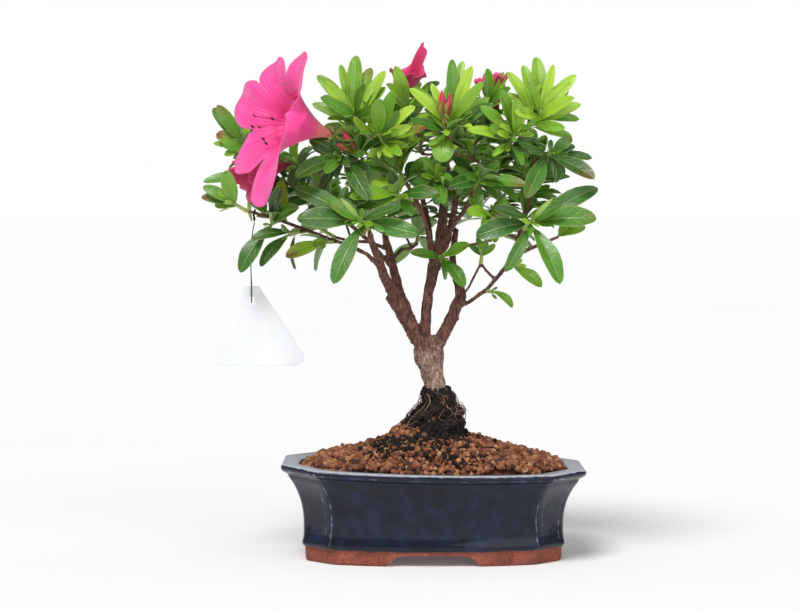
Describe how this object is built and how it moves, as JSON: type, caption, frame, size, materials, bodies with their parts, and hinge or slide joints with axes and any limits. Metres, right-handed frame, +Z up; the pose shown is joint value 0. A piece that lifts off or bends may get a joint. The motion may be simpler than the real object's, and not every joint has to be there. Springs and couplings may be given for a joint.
{
  "type": "potted bonsai",
  "caption": "Satsuki azalea bonsai with pink funnel blooms and leafy shoots, on bare roots over akadama granules, in a footed octagonal glazed pot, with a blank hanging tag.",
  "frame": {"origin": "on the ground, under the middle of the plant and pot together, not counting the hanging tag", "axes": "+X to the right of the pot's front, +Y to its back, +Z up"},
  "size_m": [0.2152, 0.1692, 0.2776],
  "materials": {
    "glaze": "navy blue gloss glaze over a bare red clay foot",
    "mesh_plastic": "black drain mesh",
    "akadama": "baked clay granules",
    "peat": "dark peat bound by fine roots",
    "bark": "furrowed reddish brown bark",
    "leaf": "satin green leaf blades on green stems",
    "petal": "soft pink petal",
    "old_petal": "crumpled dark pink petal",
    "calyx": "green stalk and sepals",
    "stamen": "deep pink filaments with dark tips",
    "bud": "red flower bud",
    "thread": "dark twisted thread",
    "tag_plastic": "thin translucent white plastic"
  },
  "bodies": {
    "root": {"akadama": "akadama", "bloom_large_petals": "petal", "bloom_large_stalk": "calyx", "bloom_large_stamens": "stamen", "bloom_lower_petals": "old_petal", "bloom_lower_stalk": "calyx", "bloom_top_left_petals": "old_petal", "bloom_top_left_stalk": "calyx", "bloom_top_right_petals": "old_petal", "bloom_top_right_stalk": "calyx", "bud_centre": "bud", "bud_left": "bud", "drain_screen_left": "mesh_plastic", "drain_screen_right": "mesh_plastic", "pot": "glaze", "root_ball": "peat", "shoot_centre": "leaf", "shoot_crown_left": "leaf", "shoot_crown_right": "leaf", "shoot_fill_01": "leaf", "shoot_fill_02": "leaf", "shoot_fill_03": "leaf", "shoot_fill_04": "leaf", "shoot_fill_05": "leaf", "shoot_fill_06": "leaf", "shoot_fill_07": "leaf", "shoot_fill_08": "leaf", "shoot_fill_09": "leaf", "shoot_fill_10": "leaf", "shoot_fill_11": "leaf", "shoot_fill_12": "leaf", "shoot_fill_13": "leaf", "shoot_front_centre": "leaf", "shoot_front_low_left": "leaf", "shoot_front_low_right": "leaf", "shoot_left_arching": "leaf", "shoot_left_dark": "leaf", "shoot_left_hanging": "leaf", "shoot_left_hanging_inner": "leaf", "shoot_left_tip": "leaf", "shoot_left_whorl": "leaf", "shoot_light_green": "leaf", "shoot_middle_limb": "leaf", "shoot_outer_left": "leaf", "shoot_red_tipped": "leaf", "shoot_right_dark": "leaf", "shoot_right_twig_lower": "leaf", "shoot_right_twig_upper": "leaf", "shoot_right_whorl": "leaf", "shoot_small_rosette": "leaf", "shoot_top_left": "leaf", "shoot_top_left_inner": "leaf", "shoot_top_right": "leaf", "shoot_top_right_inner": "leaf", "tag": "tag_plastic", "thread": "thread", "thread_tie": "thread", "wood": "bark"}
  },
  "joints": []
}
